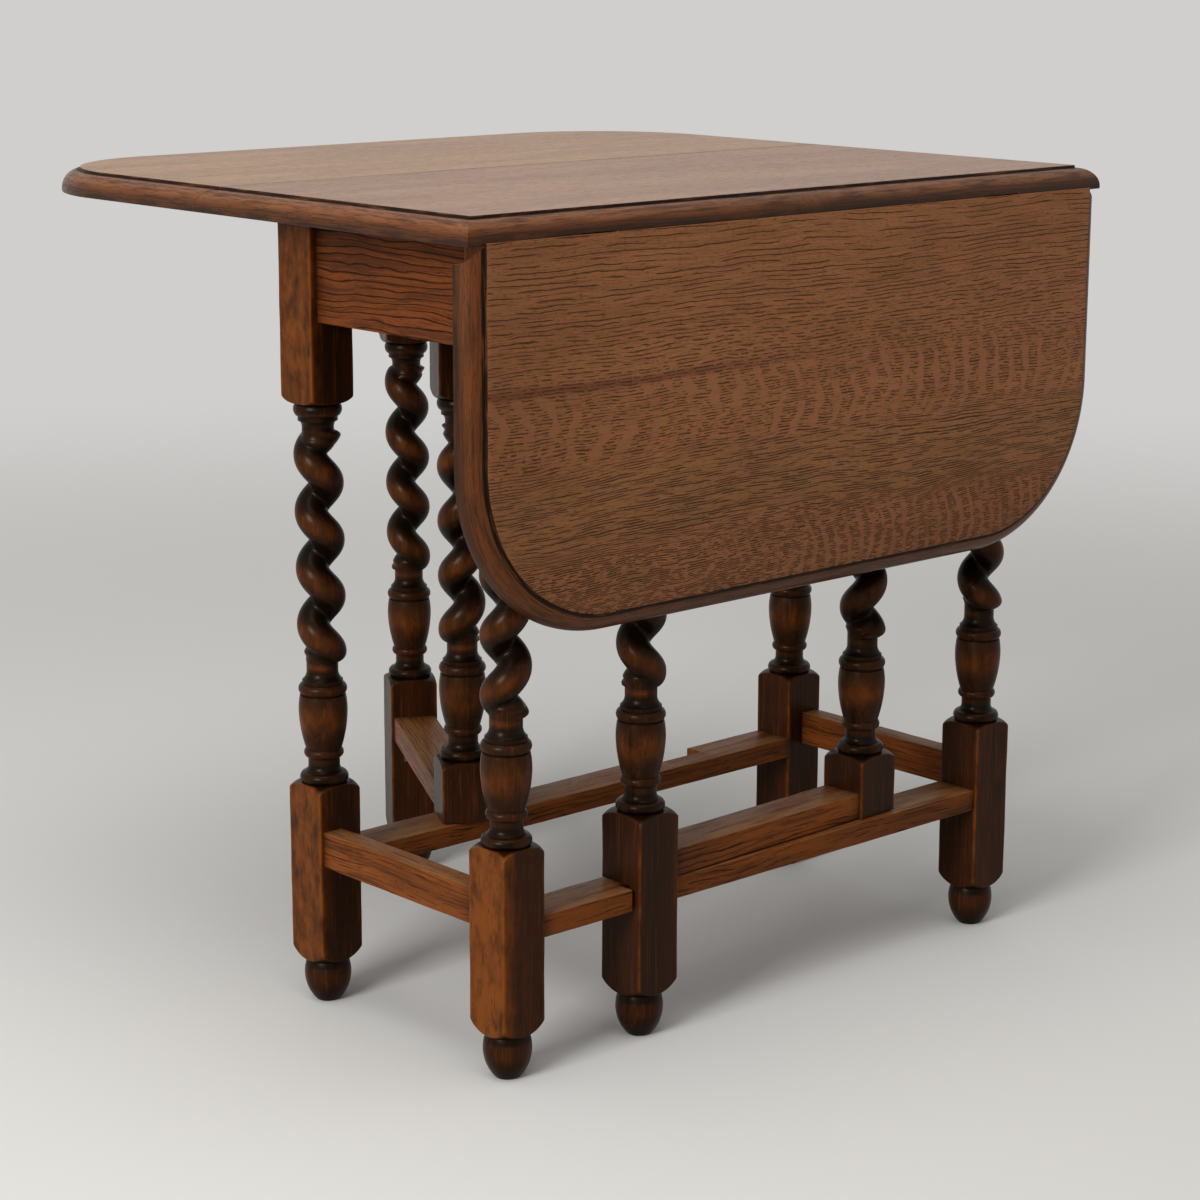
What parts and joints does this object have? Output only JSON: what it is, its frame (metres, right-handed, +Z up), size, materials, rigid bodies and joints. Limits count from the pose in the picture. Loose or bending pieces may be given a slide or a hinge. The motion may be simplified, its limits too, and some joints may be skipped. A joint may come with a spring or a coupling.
{
  "type": "gateleg drop-leaf table",
  "caption": "Oak gateleg table on barley-twist legs: two drop leaves on rule-joint hinges, each carried by a swinging gate.",
  "frame": {"origin": "bottom centre of the bounding box with the far leaf raised and the near leaf hanging, on the floor", "axes": "+X along the hinge lines, +Y towards the raised leaf, +Z up"},
  "size_m": [0.76, 0.675, 0.73],
  "materials": {
    "oak_top": "worn varnish, paler on the upper faces",
    "oak_turned": "dark stain and satin varnish, worn on the highs",
    "oak_rails": "brown stain and satin varnish",
    "plain_hidden_wood": "unfinished",
    "hinge_brass": "dulled",
    "hinge_pin_steel": "plain"
  },
  "bodies": {
    "frame": {"centre_top": "oak_top", "end_apron_left": "oak_rails", "end_apron_right": "oak_rails", "end_stretcher_left": "oak_rails", "end_stretcher_right": "oak_rails", "glue_blocks": "plain_hidden_wood", "hinge_pins_far": "hinge_pin_steel", "hinge_pins_near": "hinge_pin_steel", "hinge_top_flaps_far": "hinge_brass", "hinge_top_flaps_near": "hinge_brass", "leg_far_left": "oak_turned", "leg_far_right": "oak_turned", "leg_near_left": "oak_turned", "leg_near_right": "oak_turned", "long_stretcher_far": "oak_rails", "long_stretcher_near": "oak_rails", "side_apron_far": "oak_rails", "side_apron_near": "oak_rails"},
    "near_leaf": {"leaf_near": "oak_top", "hinge_leaf_flaps_near": "hinge_brass", "gate_stop_block_near": "plain_hidden_wood"},
    "far_leaf": {"leaf_far": "oak_top", "hinge_leaf_flaps_far": "hinge_brass", "gate_stop_block_far": "plain_hidden_wood"},
    "near_gate": {"gate_leg_near": "oak_turned", "gate_post_near": "oak_turned", "gate_lower_rail_near": "oak_rails", "gate_upper_rail_near": "oak_rails", "gate_pivot_dowels_near": "plain_hidden_wood"},
    "far_gate": {"gate_leg_far": "oak_turned", "gate_post_far": "oak_turned", "gate_lower_rail_far": "oak_rails", "gate_upper_rail_far": "oak_rails", "gate_pivot_dowels_far": "plain_hidden_wood"}
  },
  "joints": [
    {"name": "near_leaf_hinge", "type": "hinge", "parent": "frame", "child": "near_leaf", "pos_m": [0, -0.3185, 0.711], "axis": [-1, 0, 0], "range_deg": [0, 90]},
    {"name": "far_leaf_hinge", "type": "hinge", "parent": "frame", "child": "far_leaf", "pos_m": [0, 0.0115, 0.711], "axis": [1, 0, 0], "range_deg": [0, 1.5]},
    {"name": "near_gate_pivot", "type": "hinge", "parent": "frame", "child": "near_gate", "pos_m": [0.144, -0.268, 0.1427], "axis": [0, 0, 1], "range_deg": [-2.15, 2.15]},
    {"name": "far_gate_pivot", "type": "hinge", "parent": "frame", "child": "far_gate", "pos_m": [-0.144, -0.039, 0.1427], "axis": [0, 0, 1], "range_deg": [-61, 0]}
  ]
}
